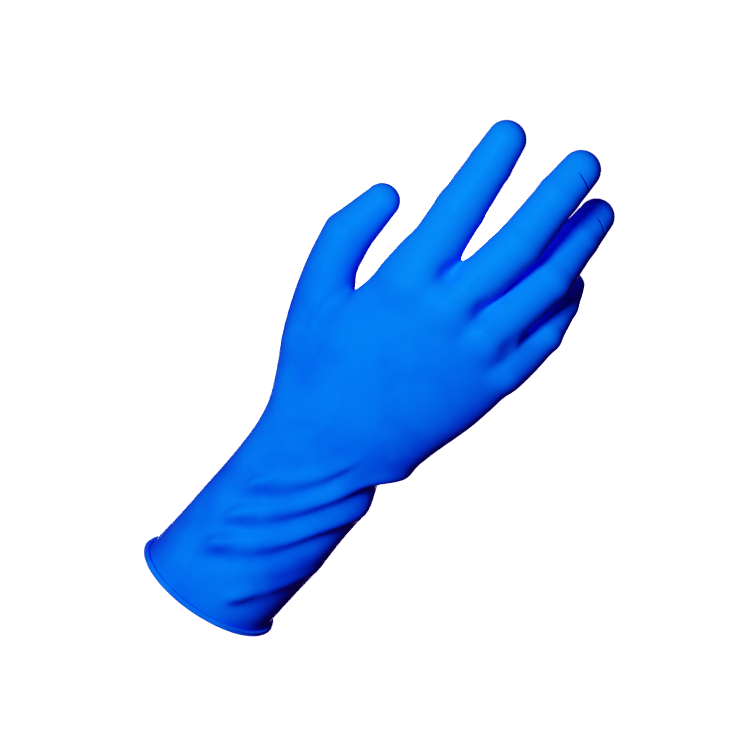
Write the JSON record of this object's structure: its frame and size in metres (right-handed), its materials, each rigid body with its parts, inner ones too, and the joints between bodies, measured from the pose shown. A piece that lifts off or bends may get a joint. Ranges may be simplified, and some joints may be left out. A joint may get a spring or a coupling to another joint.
{
  "type": "rubber glove",
  "caption": "Household rubber glove for the right hand, long beaded cuff, filled out as worn, split where the rubber bends so wrist, fingers and thumb flex.",
  "frame": {"origin": "centre of the cuff's mouth, in the plane of its edge", "axes": "+Z from the cuff's mouth towards the fingertips, +Y out of the palm, -X towards the thumb"},
  "size_m": [0.1256, 0.102, 0.2866],
  "materials": {
    "film": "satin dipped latex film",
    "bead": "satin rolled edge"
  },
  "bodies": {
    "cuff": {"cuff_bead": "bead", "cuff": "film", "wrist_side_sleeve": "film"},
    "wrist": {"wrist_band": "film", "wrist_flex_sleeve": "film"},
    "hand": {"hand_shell": "film", "thumb_root_sleeve": "film", "knuckle_sleeve": "film"},
    "finger_bases": {"knuckle_row": "film", "index_proximal": "film", "index_pip_sleeve": "film", "middle_proximal": "film", "middle_pip_sleeve": "film", "ring_proximal": "film", "ring_pip_sleeve": "film", "little_proximal": "film", "little_pip_sleeve": "film"},
    "index_middle": {"index_middle": "film", "index_dip_sleeve": "film"},
    "index_tip": {"index_tip": "film"},
    "middle_middle": {"middle_middle": "film", "middle_dip_sleeve": "film"},
    "middle_tip": {"middle_tip": "film"},
    "ring_middle": {"ring_middle": "film", "ring_dip_sleeve": "film"},
    "ring_tip": {"ring_tip": "film"},
    "little_middle": {"little_middle": "film", "little_dip_sleeve": "film"},
    "little_tip": {"little_tip": "film"},
    "thumb_stall": {"thumb_proximal": "film", "thumb_ip_sleeve": "film"},
    "thumb_tip": {"thumb_tip": "film"}
  },
  "joints": [
    {"name": "wrist_side_bend", "type": "hinge", "parent": "cuff", "child": "wrist", "pos_m": [0.001, 0, 0.056], "axis": [0, 1, 0], "range_deg": [-15, 25], "stiffness_Nm_per_rad": 0.3, "deforming": ["wrist_side_sleeve"]},
    {"name": "wrist_flex", "type": "hinge", "parent": "wrist", "child": "hand", "pos_m": [0.0005, 0, 0.088], "axis": [-1, 0, 0], "range_deg": [-40, 45], "stiffness_Nm_per_rad": 0.2, "deforming": ["wrist_flex_sleeve"]},
    {"name": "knuckle_fold", "type": "hinge", "parent": "hand", "child": "finger_bases", "pos_m": [0.008, 0.002, 0.184], "axis": [-0.9919, -0.065, 0.1089], "range_deg": [-10, 45], "stiffness_Nm_per_rad": 0.08, "deforming": ["knuckle_sleeve"]},
    {"name": "index_pip", "type": "hinge", "parent": "finger_bases", "child": "index_middle", "pos_m": [-0.02404, 0.00868, 0.23085], "axis": [-0.9922, 0.0455, -0.1163], "range_deg": [-5, 70], "stiffness_Nm_per_rad": 0.012, "deforming": ["index_pip_sleeve"]},
    {"name": "index_dip", "type": "hinge", "parent": "index_middle", "child": "index_tip", "pos_m": [-0.02676, 0.01405, 0.25615], "axis": [-0.9903, 0.0316, -0.1355], "range_deg": [-5, 45], "stiffness_Nm_per_rad": 0.008, "deforming": ["index_dip_sleeve"]},
    {"name": "middle_pip", "type": "hinge", "parent": "finger_bases", "child": "middle_middle", "pos_m": [0.00855, 0.01445, 0.23504], "axis": [-0.9989, -0.0434, -0.0182], "range_deg": [-15, 60], "stiffness_Nm_per_rad": 0.012, "deforming": ["middle_pip_sleeve"]},
    {"name": "middle_dip", "type": "hinge", "parent": "middle_middle", "child": "middle_tip", "pos_m": [0.00752, 0.02691, 0.26176], "axis": [-0.9994, -0.0167, 0.0304], "range_deg": [-8, 45], "stiffness_Nm_per_rad": 0.008, "deforming": ["middle_dip_sleeve"]},
    {"name": "ring_pip", "type": "hinge", "parent": "finger_bases", "child": "ring_middle", "pos_m": [0.03111, 0.02594, 0.22598], "axis": [-0.991, -0.1238, 0.0503], "range_deg": [-20, 35], "stiffness_Nm_per_rad": 0.012, "deforming": ["ring_pip_sleeve"]},
    {"name": "ring_dip", "type": "hinge", "parent": "ring_middle", "child": "ring_tip", "pos_m": [0.02975, 0.0443, 0.24433], "axis": [-0.9933, -0.0883, 0.0752], "range_deg": [-8, 45], "stiffness_Nm_per_rad": 0.008, "deforming": ["ring_dip_sleeve"]},
    {"name": "little_pip", "type": "hinge", "parent": "finger_bases", "child": "little_middle", "pos_m": [0.04653, 0.02675, 0.20203], "axis": [-0.9894, -0.1367, -0.0484], "range_deg": [-12, 55], "stiffness_Nm_per_rad": 0.012, "deforming": ["little_pip_sleeve"]},
    {"name": "little_dip", "type": "hinge", "parent": "little_middle", "child": "little_tip", "pos_m": [0.04375, 0.04277, 0.21368], "axis": [-0.974, -0.2184, -0.0597], "range_deg": [-15, 35], "stiffness_Nm_per_rad": 0.008, "deforming": ["little_dip_sleeve"]},
    {"name": "thumb_root_flex", "type": "hinge", "parent": "hand", "child": "thumb_stall", "pos_m": [-0.05105, 0.01659, 0.16054], "axis": [-0.4541, 0.8678, -0.2018], "range_deg": [-12, 28], "stiffness_Nm_per_rad": 0.02, "deforming": ["thumb_root_sleeve"]},
    {"name": "thumb_ip_flex", "type": "hinge", "parent": "thumb_stall", "child": "thumb_tip", "pos_m": [-0.05803, 0.02017, 0.17894], "axis": [-0.52, 0.8276, -0.2114], "range_deg": [-30, 35], "stiffness_Nm_per_rad": 0.012, "deforming": ["thumb_ip_sleeve"]}
  ]
}
